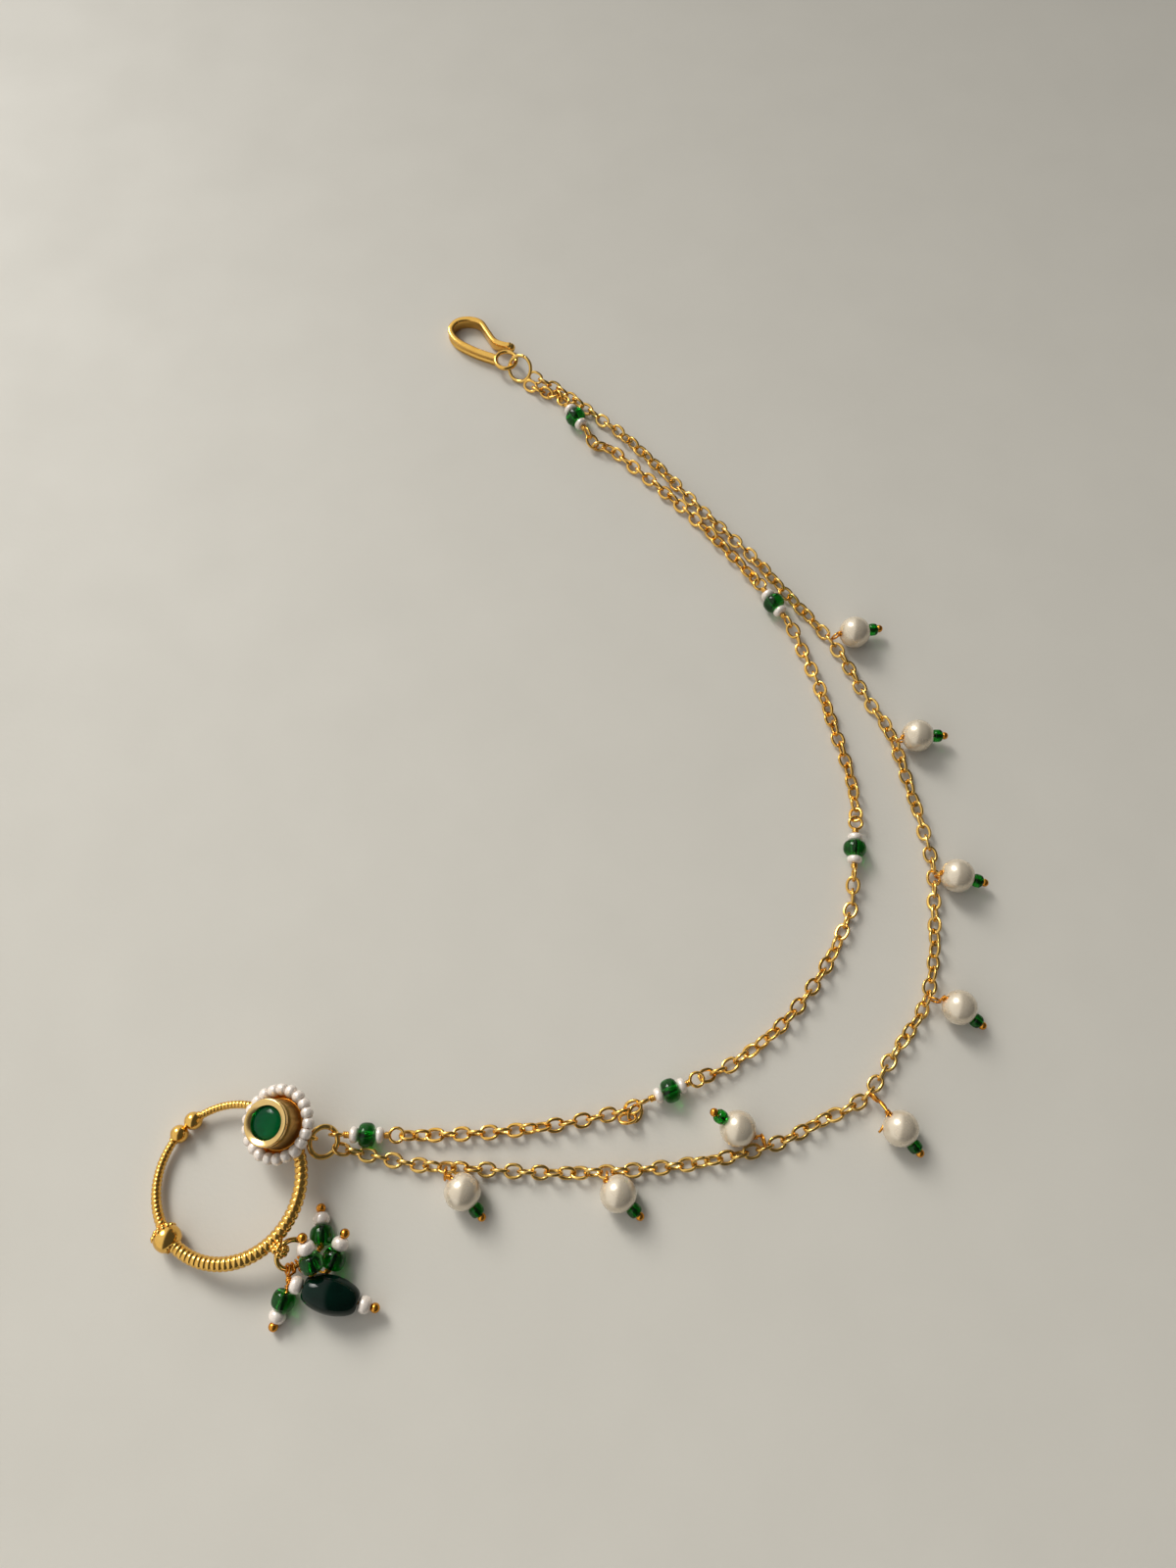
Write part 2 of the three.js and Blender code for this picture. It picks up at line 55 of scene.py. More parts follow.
def lookup(table, key):  # straight lines between the rows of a (key, value) table
    rows = sorted(table)
    if key <= rows[0][0]:
        return rows[0][1]
    for (a, va), (b, vb) in zip(rows, rows[1:]):
        if key <= b:
            return va + (vb - va) * (key - a) / (b - a)
    return rows[-1][1]


def smoothPath(points, spacing):  # even points on a rounded curve through the given ones
    stepsPerSpan = 16
    pts = [Vector(p) for p in points]
    pts = [2 * pts[0] - pts[1], *pts, 2 * pts[-1] - pts[-2]]
    dense = []
    for a, b, c, d in zip(pts, pts[1:], pts[2:], pts[3:]):
        for k in range(stepsPerSpan):
            t = k / stepsPerSpan
            dense.append(0.5 * (2 * b + (c - a) * t + (2 * a - 5 * b + 4 * c - d) * t * t
                                + (3 * b - a - 3 * c + d) * t ** 3))
    dense.append(pts[-2])
    lengths = [0.0]
    for a, b in zip(dense, dense[1:]):
        lengths.append(lengths[-1] + (b - a).length)
    count = max(2, round(lengths[-1] / spacing) + 1)
    path, k = [], 0
    for i in range(count):
        want = lengths[-1] * i / (count - 1)
        while k < len(lengths) - 2 and lengths[k + 1] < want:
            k += 1
        span = lengths[k + 1] - lengths[k] or 1.0
        path.append(dense[k].lerp(dense[k + 1], min(1.0, (want - lengths[k]) / span)))
    return path


def tangents(path, closed=False):
    n = len(path)
    if closed:
        return [(path[(i + 1) % n] - path[i - 1]).normalized() for i in range(n)]
    return [(path[min(i + 1, n - 1)] - path[max(i - 1, 0)]).normalized() for i in range(n)]


# Mesh building: every shape is a pair of lists, vertices in millimetres and faces

def joinShapes(shapes):
    verts, faces = [], []
    for shapeVerts, shapeFaces in shapes:
        base = len(verts)
        verts += shapeVerts
        faces += [tuple(i + base for i in f) for f in shapeFaces]
    return verts, faces


def skin(rings, closed=False):  # quads between rings of equal size, with flat ends unless it closes on itself
    verts = [v for ring in rings for v in ring]
    n, faces = len(rings[0]), []
    for i in range(len(rings) if closed else len(rings) - 1):
        a, b = i * n, ((i + 1) % len(rings)) * n
        faces += [(a + j, a + (j + 1) % n, b + (j + 1) % n, b + j) for j in range(n)]
    if not closed:
        faces += [tuple(range(n - 1, -1, -1)), tuple(range(len(verts) - n, len(verts)))]
    return verts, faces


def tube(path, radius, sides=10, closed=False):  # carries a round section along a path without twist
    runs = tangents(path, closed)
    side = runs[0].orthogonal()
    circle = [(math.cos(2 * math.pi * k / sides), math.sin(2 * math.pi * k / sides)) for k in range(sides)]
    rings = []
    for p, run in zip(path, runs):
        side = side - run * side.dot(run)
        side.normalize()
        other = run.cross(side)
        rings.append([p + side * (x * radius) + other * (y * radius) for x, y in circle])
    return skin(rings, closed)


def turned(profile, axis, centre, sides=32, wobble=0.0):
    # a profile of (radius, height) pairs turned round an axis; radius 0 closes it to a point
    side = axis.orthogonal().normalized()
    other = axis.cross(side)
    verts, faces, last = [], [], None
    for r, h in profile:
        base = len(verts)
        if r == 0:
            verts.append(centre + axis * h)
            ring = [base] * sides
        else:
            for k in range(sides):
                a = 2 * math.pi * k / sides
                swell = 1 + wobble * math.sin(2 * a + h)
                verts.append(centre + axis * h + (side * math.cos(a) + other * math.sin(a)) * (r * swell))
            ring = list(range(base, base + sides))
        if last:
            for k in range(sides):
                face = [last[k], last[(k + 1) % sides], ring[(k + 1) % sides], ring[k]]
                face = list(dict.fromkeys(face))
                if len(face) > 2:
                    faces.append(tuple(face))
        last = ring
    return verts, faces


def ball(centre, radius, sides=20):
    rows = sides // 2
    profile = [(radius * math.sin(math.pi * i / rows), -radius * math.cos(math.pi * i / rows))
               for i in range(rows + 1)]
    profile[0], profile[-1] = (0, profile[0][1]), (0, profile[-1][1])
    return turned(profile, up, centre, sides)


def wireRing(centre, radius, wire, axis, steps=40, sides=10, cut=0.0, facing=None):
    # round ring, with a fine cut of so many degrees on the facing side
    side = (facing - axis * facing.dot(axis)).normalized() if facing else axis.orthogonal().normalized()
    other = axis.cross(side)
    sweep = 2 * math.pi - math.radians(cut)
    path = []
    for i in range(steps + 1 if cut else steps):
        a = math.radians(cut) / 2 + sweep * i / steps
        path.append(centre + side * (radius * math.cos(a)) + other * (radius * math.sin(a)))
    return tube(path, wire, sides, closed=not cut)


def coil(start, end, radius, wire, turns, sides=7):  # wraps of thin wire round a straight run
    stepsPerTurn, fewestSteps = 14, 12
    run = end - start
    axis = run.normalized()
    side = axis.orthogonal().normalized()
    other = axis.cross(side)
    steps = max(fewestSteps, round(turns * stepsPerTurn))
    path = []
    for i in range(steps + 1):
        a = 2 * math.pi * turns * i / steps
        path.append(start + run * (i / steps) + (side * math.cos(a) + other * math.sin(a)) * radius)
    return tube(path, wire, sides)


def drilled(size, axis, centre, sides=32):
    # bead with rounded shoulders and a hole for the wire; squareness 2 is an ellipsoid
    steps, countersink = 20, 0.12
    power = size.get("squareness", 2.0)
    outer = []
    for i in range(steps + 1):
        t = -math.cos(math.pi * i / steps)
        bulge = (1 - abs(t) ** power) ** (1 / power)
        outer.append((size["end"] + (size["radius"] - size["end"]) * bulge, size["half"] * t))
    hole, deep = size["hole"], size["half"] - countersink
    profile = [(hole, -deep), *outer, (hole, deep)]
    return turned(profile + [profile[0]], axis, centre, sides, size.get("wobble", 0.0))


# Materials

def linear(hexColour):  # sRGB hex to linear RGBA
    values = [int(hexColour[i:i + 2], 16) / 255 for i in (1, 3, 5)]
    return (*[v / 12.92 if v <= 0.04045 else ((v + 0.055) / 1.055) ** 2.4 for v in values], 1.0)


def addNode(tree, kind, settings=None, links=None):
    made = tree.nodes.new(kind)
    for key, value in (settings or {}).items():
        if isinstance(key, int) or key in made.inputs:
            made.inputs[key].default_value = value
        else:
            setattr(made, key, value)
    for key, source in (links or {}).items():
        tree.links.new(source, made.inputs[key])
    return made


def finish(name, colours, patchMm, roughness, bumpMm, bumpDepth, sockets):
    # two colours in soft patches, roughness that drifts with them, and a fine bump, all sized in mm
    bumpRise = 0.2  # height of the bump as a share of its width
    mat = bpy.data.materials.new(name)
    mat.use_nodes = True
    tree = mat.node_tree
    tree.nodes.clear()
    place = addNode(tree, "ShaderNodeTexCoord").outputs["Object"]
    patches = addNode(tree, "ShaderNodeTexNoise", {"Scale": 1 / (patchMm * millimetre), "Detail": 3.0},
                      {"Vector": place})
    tint = addNode(tree, "ShaderNodeMix", {"data_type": "RGBA", 6: linear(colours[0]), 7: linear(colours[1])},
                   {0: patches.outputs[0]})
    rough = addNode(tree, "ShaderNodeMapRange", {"To Min": roughness[0], "To Max": roughness[1]},
                    {"Value": patches.outputs[0]})
    grain = addNode(tree, "ShaderNodeTexNoise", {"Scale": 1 / (bumpMm * millimetre), "Detail": 2.0},
                    {"Vector": place})
    bump = addNode(tree, "ShaderNodeBump", {"Strength": bumpDepth, "Distance": bumpMm * millimetre * bumpRise},
                   {"Height": grain.outputs[0]})
    shader = addNode(tree, "ShaderNodeBsdfPrincipled", sockets,
                     {"Base Color": tint.outputs[2], "Roughness": rough.outputs[0], "Normal": bump.outputs[0]})
    addNode(tree, "ShaderNodeOutputMaterial", {}, {"Surface": shader.outputs[0]})
    return mat


# Polished yellow gold plate on brass: warm, mirror-like, with faint plating patches
goldPlate = finish("goldPlate", ("#f5ca72", "#e2aa4a"), 1.6, (0.12, 0.2), 0.35, 0.08, {"Metallic": 1.0})
# The bezel's lip, burnished smooth for tighter reflections; its paler colour is a painted highlight of the
# window's bright reflection
burnishedGoldWithPaintedHighlight = finish("burnishedGoldWithPaintedHighlight", ("#f3d395", "#e0b66a"), 2.4, (0.1, 0.18), 0.6, 0.06,
                            {"Metallic": 1.0})
# The bezel's wall: the same plate left satin, so that the pearls do not mirror in it, and painted darker as
# painted shade for the shade and dark reflections that fall on the wall
satinGoldWithPaintedShade = finish("satinGoldWithPaintedShade", ("#c39d58", "#92723c"), 1.8, (0.42, 0.52), 0.3, 0.08, {"Metallic": 1.0})
# Brighter, paler plate on the rings and the outer chain
paleGoldPlate = finish("paleGoldPlate", ("#f3cd7c", "#dcab50"), 1.4, (0.13, 0.22), 0.3, 0.08, {"Metallic": 1.0})
# Deeper amber plate on the pin wires and ball heads, and on the rim behind the pearls, where the amber is partly a
# painted warm glow between the pearls and the wall
amberGoldAndPaintedRimGlow = finish("amberGoldAndPaintedRimGlow", ("#eeac46", "#cc8126"), 1.0, (0.16, 0.26), 0.25, 0.1, {"Metallic": 1.0})
# Imitation pearl: nacre lacquer that mirrors the window softly over a cream body
creamPearl = finish("creamPearl", ("#e8dcc8", "#d9c9b0"), 2.2, (0.24, 0.3), 0.5, 0.04,
                    {"Metallic": 0.42, "Coat Weight": 0.6, "Coat Roughness": 0.1, "Coat IOR": 1.5, "IOR": 1.6})
# Small white lustre beads, a little warm where they shade each other
seedPearl = finish("seedPearl", ("#f6efe7", "#e8d8cb"), 0.9, (0.22, 0.32), 0.3, 0.05,
                   {"Metallic": 0.2, "Coat Weight": 0.8, "Coat Roughness": 0.1, "Coat IOR": 1.5, "IOR": 1.55})
# Drawn green glass seed beads: clear, deep green, glossy, the wire showing through
greenGlass = finish("greenGlass", ("#0fa326", "#078216"), 0.8, (0.02, 0.06), 0.6, 0.03,
                    {"Transmission Weight": 1.0, "IOR": 1.35})
# Pressed dark bottle-green glass of the barrel bead, nearly black inside
darkGreenGlass = finish("darkGreenGlass", ("#02241a", "#000c07"), 2.5, (0.04, 0.08), 1.0, 0.02,
                        {"IOR": 1.45, "Specular IOR Level": 0.22})
# Green glass stone, its polish slightly worn, clear down to the foil; the low IOR keeps the room's
# reflection from veiling the green
emeraldGlass = finish("emeraldGlass", ("#04a56e", "#01784c"), 1.5, (0.06, 0.12), 0.8, 0.04,
                      {"Transmission Weight": 0.88, "IOR": 1.22})
# Green-tinted foil dished under the stone, which throws the light back through its far side
stoneFoil = finish("stoneFoil", ("#a6ecc8", "#6cc79d"), 0.9, (0.45, 0.6), 0.5, 0.4, {"IOR": 1.45})
print("materials made")


def piece(name, shapes, material, slotName, node):  # one named mesh that stands in for a node's solid
    verts, faces = joinShapes(shapes)
    mesh = bpy.data.meshes.new(name)
    mesh.from_pydata([(v + tableShift) * millimetre for v in verts], [], faces)
    mesh.validate()
    mesh.shade_smooth()
    mesh.materials.append(material)
    obj = bpy.data.objects.new(name, mesh)
    bpy.context.scene.collection.objects.link(obj)
    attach(obj, "root")
    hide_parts(node)


# Nose ring: everything soldered to the hoop lies in one leaned plane
hoop = {
    "centre": (-58.75, -78.95, 3.38), "leanX": -0.05, "leanY": -0.15, "radius": 12.35,
    # ball tips, each with a collar on the side of the gap and a nub on the wire's side
    "tips": (127, -219), "tipBall": 1.5, "collar": {"along": 1.42, "radius": 0.62, "wire": 0.2},
    "nub": {"along": 1.3, "radius": 0.42},
    # degrees round the hoop: wire radius, and distance from rib to rib
    "wire": [(-219, 0.66), (-180, 0.78), (-150, 0.9), (-125, 1.12), (-80, 1.2), (-30, 1.15), (15, 1.08),
             (45, 0.9), (70, 0.68), (127, 0.65)],
    "pitch": [(-219, 0.62), (-180, 0.68), (-150, 0.72), (-125, 0.84), (-80, 0.88), (-30, 0.98), (15, 1.0),
              (45, 0.8), (70, 0.62), (127, 0.6)],
    "ribDepth": 0.24, "ribFlatness": 2.6, "sides": 24, "rowsPerRib": 10,
    "bead": {"turn": -137.5, "out": 12.55, "radius": 2.3, "half": 1.8, "end": 0.9, "hole": 0.3},
    # rows of granules: place along the wire, ring radius, granule radius, count
    "beadRows": ((-1.7, 1.3, 0.4, 11), (-1.15, 1.86, 0.42, 14), (1.72, 1.12, 0.3, 12)),
    "loop": {"turn": -45.6, "out": 14.1, "radius": 1.05, "wire": 0.4,
             "rows": ((-0.62, 0.98, 0.48, 7), (0.0, 1.16, 0.48, 8), (0.62, 0.98, 0.48, 7))},
}
hoopMatrix = (Matrix.Translation(hoop["centre"]) @ Matrix.Rotation(hoop["leanX"], 4, "X")
              @ Matrix.Rotation(hoop["leanY"], 4, "Y"))


def placed(matrix, shape):
    return [matrix @ v for v in shape[0]], shape[1]


def roundHoop(turn, out):
    a = math.radians(turn)
    return Vector((out * math.cos(a), out * math.sin(a), 0.0))


def ribbedWire():
    start, end = hoop["tips"]
    rings, phase, turn = [], 0.0, float(start)
    while turn > end:
        pitch = lookup(hoop["pitch"], turn)
        f = phase % 1.0
        swell = math.sqrt(max(0.0, 1 - abs(2 * f - 1) ** hoop["ribFlatness"]))
        r = lookup(hoop["wire"], turn) * (1 - hoop["ribDepth"] + hoop["ribDepth"] * swell)
        out = roundHoop(turn, 1.0)
        centre = out * hoop["radius"]
        rings.append([centre + (out * math.cos(a) + up * math.sin(a)) * r
                      for a in (2 * math.pi * k / hoop["sides"] for k in range(hoop["sides"]))])
        phase += 1 / hoop["rowsPerRib"]
        turn -= math.degrees(pitch / hoop["rowsPerRib"] / hoop["radius"])
    return skin(rings)


def granules(centre, axis, ring, radius, count, lift=0.0, phase=0.0):
    side = axis.orthogonal().normalized()
    other = axis.cross(side)
    return [ball(centre + axis * lift + (side * math.cos(a) + other * math.sin(a)) * ring, radius, sides=12)
            for a in (2 * math.pi * (k + phase) / count for k in range(count))]


def hoopShapes():
    shapes = [ribbedWire()]
    collar, nub = hoop["collar"], hoop["nub"]
    for turn, inward in zip(hoop["tips"], (-1, 1)):
        along = heading(turn + 90) * inward
        at = roundHoop(turn, hoop["radius"])
        shapes.append(ball(at, hoop["tipBall"], sides=32))
        shapes.append(wireRing(at + along * collar["along"], collar["radius"], collar["wire"], along,
                               steps=24, sides=8))
        shapes.append(ball(at - along * nub["along"], nub["radius"], sides=14))
    bead, eye = hoop["bead"], hoop["loop"]
    beadAt, along = roundHoop(bead["turn"], bead["out"]), heading(bead["turn"] + 90)
    shapes.append(drilled(bead, along, beadAt, sides=40))
    for lift, *row in hoop["beadRows"]:
        shapes += granules(beadAt, along, *row, lift)
    eyeAt, along = roundHoop(eye["turn"], eye["out"]), heading(eye["turn"] + 90)
    shapes.append(wireRing(eyeAt, eye["radius"], eye["wire"], along, steps=32, sides=12))
    for k, (lift, *row) in enumerate(eye["rows"]):
        shapes += granules(eyeAt, along, *row, lift, 0.5 * k)  # each row set half a granule on
    return shapes


flower = {
    "x": 8.5, "y": 8.9, "leanX": 0.08, "leanY": -0.12, "sides": 96,
    # turned profiles, radius and height: back plate, wall and seat, then rounded shoulder, dished lip and mouth
    "wall": [(0, -0.3), (4.0, -0.3), (4.35, -0.15), (4.5, 0.1), (4.5, 0.85), (4.42, 0.98), (3.98, 1.02),
             (3.94, 1.1), (3.92, 2.6), (3.88, 4.4), (3.86, 5.5), (3.72, 5.5), (3.72, 4.3), (0, 4.25)],
    "lip": [(3.7, 5.45), (3.86, 5.48), (3.84, 5.75), (3.81, 6.0), (3.77, 6.1), (3.7, 6.17), (3.6, 6.2),
            (3.52, 6.19), (3.46, 6.17), (2.82, 5.93), (2.75, 5.88), (2.7, 5.79), (2.68, 5.55), (2.67, 4.9),
            (2.67, 4.4), (3.7, 4.4), (3.7, 5.45)],
    # rim behind the pearls, its amber partly a painted warm glow, with a bright edge against the wall
    "rim": [(3.9, 0.98), (4.7, 0.92), (4.9, 1.0), (4.96, 1.16), (4.9, 1.32), (4.7, 1.42), (4.28, 1.42),
            (4.2, 1.58), (4.1, 1.64), (4.0, 1.6), (3.9, 1.3), (3.9, 0.98)],
    "foil": [(0, 4.34), (2.5, 4.5), (2.62, 4.9), (2.56, 5.0), (2.3, 4.72), (1.7, 4.52), (0.9, 4.42), (0, 4.4)],
    "stone": [(0, 4.46), (0.9, 4.48), (1.7, 4.58), (2.3, 4.79), (2.56, 5.06), (2.62, 5.18), (2.58, 5.34),
              (2.42, 5.54), (2.08, 5.76), (1.55, 5.93), (0.8, 6.03), (0, 6.06)],
    "pearls": {"count": 21, "ring": 5.46, "radius": 1.02, "half": 0.82, "end": 0.42, "hole": 0.16,
               "squareness": 2.2, "z": 1.98, "thread": 0.14,
               # how unevenly they sit: share of a step, share of the radius, millimetres out and up
               "turnDrift": 0.1, "sizeDrift": 0.08, "ringDrift": 0.14, "rise": 0.1},
    "loop": {"out": 5.25, "heading": -22, "z": -0.35, "radius": 0.95, "wire": 0.33},
}
flowerMatrix = (Matrix.Translation((flower["x"], flower["y"], 0)) @ Matrix.Rotation(flower["leanX"], 4, "X")
                @ Matrix.Rotation(flower["leanY"], 4, "Y"))
onTable = hoopMatrix @ flowerMatrix

loop = flower["loop"]
loopCentre = heading(loop["heading"]) * loop["out"] + up * loop["z"]
flowerLoop = wireRing(loopCentre, loop["radius"], loop["wire"], heading(loop["heading"] + 90), steps=28, sides=10)
piece("hoop_looks", [placed(hoopMatrix, s) for s in hoopShapes()] + [placed(onTable, flowerLoop)], goldPlate,
      "gold_plate", "hoop")
for name, part, material, slotName, node in (
        # the wall's darker colour is painted shade
        ("bezel_wall_looks", "wall", satinGoldWithPaintedShade, "gold_plate", "hoop"),
        # the lip's paler colour is a painted highlight
        ("bezel_lip_looks", "lip", burnishedGoldWithPaintedHighlight, "gold_plate", "hoop"),
        # the rim's amber is partly a painted glow
        ("bezel_rim_looks", "rim", amberGoldAndPaintedRimGlow, "gold_plate", "hoop"),
        ("stone_foil_looks", "foil", stoneFoil, "emerald_stone", "green_stone"),
        ("green_stone_looks", "stone", emeraldGlass, "emerald_stone", "green_stone")):
    piece(name, [placed(onTable, turned(flower[part], up, Vector(), flower["sides"]))], material, slotName, node)


def pearlRing():
    p, shapes = flower["pearls"], []
    for k in range(p["count"]):
        turn = 360 * (k + p["turnDrift"] * (chance.random() - 0.5)) / p["count"]
        size = dict(p, radius=p["radius"] * (1 + p["sizeDrift"] * (chance.random() - 0.5)))
        out = p["ring"] + p["ringDrift"] * (chance.random() - 0.5)
        at = heading(turn) * out + up * (p["z"] + p["rise"] * chance.random())
        shapes.append(drilled(size, heading(turn + 90), at, sides=24))
    return shapes


piece("pearl_ring_looks", [placed(onTable, s) for s in pearlRing()], seedPearl, "white_seed_pearl", "pearl_ring")
pearls = flower["pearls"]
thread = wireRing(up * pearls["z"], pearls["ring"], pearls["thread"], up, steps=88, sides=8)
piece("pearl_thread_looks", [placed(onTable, thread)], amberGoldAndPaintedRimGlow, "gold_plate", "pearl_ring")
print("nose ring and flower made")


# Jump rings
flowerRing = {"radius": 2.45, "wire": 0.45, "drop": 38, "cut": 1.6}
clusterRing = {"radius": 2.35, "wire": 0.42, "drop": 44, "cut": 1.6, "heading": -31}


def hangingRing(hold, size, direction):
    away, side = heading(direction, size["drop"]), heading(direction + 90)
    centre = hold + away * size["radius"]

    def at(turn):  # point of the wire and its run, clockwise from the far end
        c, s = math.cos(math.radians(turn)), math.sin(math.radians(turn))
        return centre + away * (size["radius"] * c) - side * (size["radius"] * s), away * -s - side * c

    shape = wireRing(centre, size["radius"], size["wire"], away.cross(side), steps=56, sides=14, cut=size["cut"],
                     facing=side)
    return shape, at


flowerRingShape, flowerRingAt = hangingRing(onTable @ loopCentre, flowerRing, loop["heading"])
piece("flower_jump_ring_looks", [flowerRingShape], paleGoldPlate, "pale_gold_plate", "flower_jump_ring")
clusterHold = hoopMatrix @ roundHoop(hoop["loop"]["turn"], hoop["loop"]["out"])
clusterRingShape, clusterRingAt = hangingRing(clusterHold, clusterRing, clusterRing["heading"])
piece("cluster_ring_looks", [clusterRingShape], paleGoldPlate, "pale_gold_plate", "cluster_ring")


# Cluster of five drops
gap = 0.15
pin = {"wire": 0.24, "eyeWire": 0.2, "eye": 0.78, "dropEye": 1.02, "step": 0.3,
       # the wrap is so long, or this share of the bent wire where that is shorter
       "wrap": {"radius": 0.36, "wire": 0.15, "turns": 2.5, "length": 0.9, "share": 0.6}}
clusterGreen = {"radius": 1.9, "half": 1.42, "end": 1.05, "hole": 0.5, "squareness": 2.3, "wobble": 0.012}
clusterWhite = {"radius": 1.4, "half": 1.0, "end": 0.6, "hole": 0.32, "squareness": 2.1}
barrel = {"radius": 2.97, "half": 4.45, "end": 1.25, "hole": 0.54, "squareness": 1.75}
clusterHead = {"radius": 0.8, "out": 0.7}
clusterDrops = [
    {"at": (-43.2, -87.0, 2.0), "heading": 99, "pitch": 12, "eye": -27, "via": [(-43.9, -89.4, 1.9)]},
    {"at": (-41.0, -90.6, 2.1), "heading": 67, "pitch": -10, "eye": -3,
     "via": [(-42.6, -92.6, 1.4), (-44.6, -91.6, 1.2)]},
    {"at": (-43.75, -91.0, 5.7), "heading": 110, "pitch": -26, "eye": 18,
     "via": [(-44.2, -92.8, 4.75), (-46.0, -92.1, 3.3)]},
    {"at": (-48.49, -96.55, 1.95), "heading": -110.5, "pitch": 12, "eye": 64, "via": [(-47.9, -94.0, 2.4)]},
    {"at": (-40.89, -95.76, 3.08), "heading": -15.5, "pitch": 9, "eye": 42, "via": [(-47.6, -93.2, 3.6)],
     "barrel": True},
]


def pinShapes(head, headRadius, start, via, eyeAt, eyeAxis, eye):
    # ball head, straight wire through the beads, then a bent run to the eye with a wrap at its start
    reach = (via[-1] if via else start) - eyeAt
    reach = (reach - eyeAxis * reach.dot(eyeAxis)).normalized()
    joint = eyeAt + reach * eye
    straight = [head.lerp(start, k / 4) for k in range(5)]
    bent = smoothPath([start, *via, joint], pin["step"])
    shapes = [tube(straight, pin["wire"]), tube([straight[-2], *bent], pin["eyeWire"])]
    shapes.append(ball(head, headRadius))
    shapes.append(wireRing(eyeAt, eye, pin["eyeWire"], eyeAxis, steps=30, sides=9))
    towards = (bent[min(3, len(bent) - 1)] - start).normalized()
    wrap = pin["wrap"]
    length = min(wrap["length"], (bent[-1] - start).length * wrap["share"])
    shapes.append(coil(start, start + towards * length, wrap["radius"], wrap["wire"], wrap["turns"]))
    return shapes


for i, drop in enumerate(clusterDrops, 1):
    bead = barrel if drop.get("barrel") else clusterGreen
    axis, centre = heading(drop["heading"], drop["pitch"]), Vector(drop["at"])
    whiteAt = bead["half"] + gap + clusterWhite["half"]
    headAt = whiteAt + clusterWhite["half"] + clusterHead["out"]
    eyePoint, eyeRun = clusterRingAt(drop["eye"])
    beadNode = "cluster_barrel" if drop.get("barrel") else f"cluster_green_{i}"
    glass = (darkGreenGlass, "dark_green_glass") if drop.get("barrel") else (greenGlass, "green_glass")
    piece(beadNode + "_looks", [drilled(bead, axis, centre, sides=48)], *glass, beadNode)
    piece(f"cluster_white_{i}_looks", [drilled(clusterWhite, axis, centre + axis * whiteAt)], seedPearl,
          "white_seed_pearl", f"cluster_white_{i}")
    backEnd = bead["half"]
    if drop.get("barrel"):  # a white bead at its inner end too
        backEnd = whiteAt + clusterWhite["half"]
        piece(f"cluster_white_{i + 1}_looks", [drilled(clusterWhite, axis, centre - axis * whiteAt)], seedPearl,
              "white_seed_pearl", f"cluster_white_{i + 1}")
    shapes = pinShapes(centre + axis * headAt, clusterHead["radius"], centre - axis * (backEnd + gap),
                       [Vector(v) for v in drop["via"]], eyePoint, eyeRun, pin["eye"])
    piece(f"cluster_pin_{i}_looks", shapes, amberGoldAndPaintedRimGlow, "gold_plate", f"cluster_pin_{i}")
print("cluster made")


# Cable chain: flattened oval links, each hooked through the next and rolled a quarter turn from it
link = {"length": 3.3, "width": 2.62, "band": 0.54, "thick": 0.48, "pitch": 2.22, "steps": 30, "fullness": 0.9,
        "roll": 45, "jitter": 16,
        # the strand twists slowly, so that some stretches show links flat and on edge by turns
        "twist": 38, "twistEvery": 9.5,
        "routeStep": 0.2, "runReach": 5, "clearance": 0.03}
chainZ = 0.98


def oneLink(centre, run, roll):
    side = up.cross(run).normalized()
    flat = Matrix.Rotation(math.radians(roll), 3, run) @ side
    face = run.cross(flat)
    a, b = (link["length"] - link["band"]) / 2, (link["width"] - link["band"]) / 2
    h, t, full = link["band"] / 2, link["thick"] / 2, link["fullness"]
    # the band's section with softened corners, its upper half and then the lower one
    section = [(h, t * 0.4), (h * 0.86, t * 0.8), (h * 0.6, t), (-h * 0.6, t), (-h * 0.86, t * 0.8), (-h, t * 0.4)]
    section += [(x, -y) for x, y in reversed(section)]
    rings = []
    for k in range(link["steps"]):
        q = 2 * math.pi * k / link["steps"]
        c, s = math.cos(q), math.sin(q)
        p = centre + run * (a * math.copysign(abs(c) ** full, c)) + flat * (b * math.copysign(abs(s) ** full, s))
        out = (run * (c / a) + flat * (s / b)).normalized()
        rings.append([p + out * x + face * y for x, y in section])
    return skin(rings, closed=True)


def chainLinks(points, first, last, drift):
    # links evenly along a route, the first and last that far in from its ends
    path = smoothPath(points, link["routeStep"])
    total = sum((b - a).length for a, b in zip(path, path[1:]))
    step = total / (len(path) - 1)
    count = max(2, round((total - first - last) / link["pitch"]) + 1)
    pitch = (total - first - last) / (count - 1)
    shapes, places = [], []
    for k in range(count):
        i = min(len(path) - 1, round((first + k * pitch) / step))
        j, m = max(0, i - link["runReach"]), min(len(path) - 1, i + link["runReach"])
        run = (path[m] - path[j]).normalized()
        roll = link["roll"] if k % 2 else -link["roll"]
        roll += (link["twist"] * math.sin(drift + k / link["twistEvery"] * math.pi)
                 + link["jitter"] * (chance.random() - 0.5))
        lean = math.radians(roll)
        rest = abs(math.sin(lean)) * link["width"] / 2 + abs(math.cos(lean)) * link["thick"] / 2
        at = path[i].copy()
        at.z = max(at.z, rest + link["clearance"])
        places.append((at, run))
        shapes.append(oneLink(at, run, roll))
    return shapes, places


